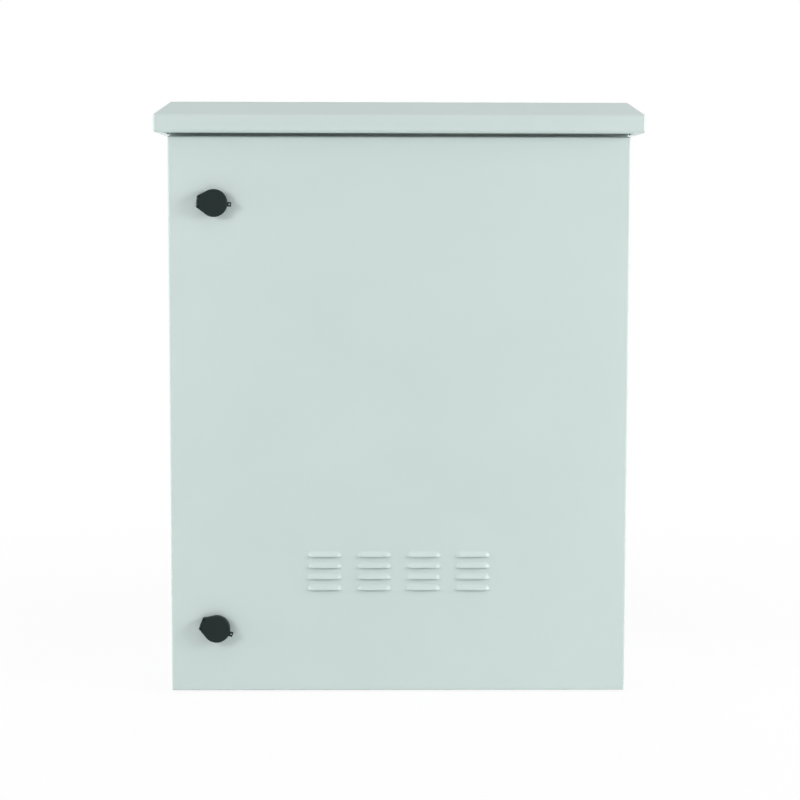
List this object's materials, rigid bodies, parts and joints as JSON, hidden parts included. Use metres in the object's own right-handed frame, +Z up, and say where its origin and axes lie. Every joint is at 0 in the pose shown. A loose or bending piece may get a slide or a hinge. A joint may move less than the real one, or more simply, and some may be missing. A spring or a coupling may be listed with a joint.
{
  "type": "roadside utility cabinet",
  "caption": "Free-standing sheet-steel utility cabinet with a hipped rain roof, a louvred hinged door, quarter-turn locks under dust covers, and a mounting plate inside.",
  "frame": {"origin": "on the ground, under the middle of the body and roof", "axes": "+X to the right seen from the door, +Y from the door to the back wall, +Z up"},
  "size_m": [0.686, 0.44, 0.841],
  "materials": {
    "powder_coat": "light grey powder coat, fine satin texture",
    "galvanised_sheet": "galvanised sheet, dull spangle",
    "zinc_casting": "die-cast zinc, satin",
    "plated_steel": "zinc-plated steel",
    "brass": "turned brass",
    "black_plastic": "moulded polyamide, matt",
    "foam_seal": "closed-cell foam",
    "filter_fleece": "bonded polyester fleece"
  },
  "bodies": {
    "cabinet": {"body_wrap": "powder_coat", "top_panel": "powder_coat", "floor_panel": "powder_coat", "gland_plate": "galvanised_sheet", "gland_gasket": "foam_seal", "gland_screws": "plated_steel", "mounting_plate": "galvanised_sheet", "plate_studs": "plated_steel", "plate_nuts": "plated_steel", "earth_stud": "brass", "earth_nut": "brass", "roof": "powder_coat", "roof_rail_left": "powder_coat", "roof_rail_right": "powder_coat", "roof_bolts": "plated_steel", "roof_nuts": "plated_steel", "upper_hinge_base": "zinc_casting", "lower_hinge_base": "zinc_casting", "upper_hinge_pin": "plated_steel", "lower_hinge_pin": "plated_steel", "hinge_screws": "plated_steel", "hinge_nuts": "plated_steel"},
    "door": {"door_panel": "powder_coat", "door_gasket": "foam_seal", "door_rail_left": "powder_coat", "door_rail_right": "powder_coat", "filter_mat": "filter_fleece", "filter_cover": "powder_coat", "filter_studs": "plated_steel", "filter_nuts": "plated_steel", "upper_hinge_leaf": "zinc_casting", "lower_hinge_leaf": "zinc_casting", "door_earth_stud": "brass", "door_earth_nut": "brass", "upper_lock_seal": "foam_seal", "lower_lock_seal": "foam_seal", "upper_cover_seat": "black_plastic", "lower_cover_seat": "black_plastic", "upper_cover_pin": "plated_steel", "lower_cover_pin": "plated_steel", "upper_lock_housing": "zinc_casting", "lower_lock_housing": "zinc_casting", "upper_lock_nut": "zinc_casting", "lower_lock_nut": "zinc_casting"},
    "upper_lock": {"upper_lock_insert": "zinc_casting", "upper_lock_cam": "plated_steel", "upper_cam_bolt": "plated_steel"},
    "lower_lock": {"lower_lock_insert": "zinc_casting", "lower_lock_cam": "plated_steel", "lower_cam_bolt": "plated_steel"},
    "upper_cover": {"upper_dust_cover": "black_plastic"},
    "lower_cover": {"lower_dust_cover": "black_plastic"}
  },
  "joints": [
    {"name": "door_hinge", "type": "hinge", "parent": "cabinet", "child": "door", "pos_m": [0.316, -0.191, 0.39775], "axis": [0, 0, 1], "range_deg": [0, 120]},
    {"name": "upper_lock_turn", "type": "hinge", "parent": "door", "child": "upper_lock", "pos_m": [-0.26, -0.2, 0.7], "axis": [0, 1, 0], "range_deg": [0, 90]},
    {"name": "upper_cover_flip", "type": "hinge", "parent": "door", "child": "upper_cover", "pos_m": [-0.28212, -0.2099, 0.70193], "axis": [-0.0872, 0, -0.9962], "range_deg": [0, 110]},
    {"name": "lower_lock_turn", "type": "hinge", "parent": "door", "child": "lower_lock", "pos_m": [-0.26, -0.2, 0.0945], "axis": [0, 1, 0], "range_deg": [0, 90]},
    {"name": "lower_cover_flip", "type": "hinge", "parent": "door", "child": "lower_cover", "pos_m": [-0.28086, -0.2099, 0.10209], "axis": [-0.342, 0, -0.9397], "range_deg": [0, 110]}
  ]
}
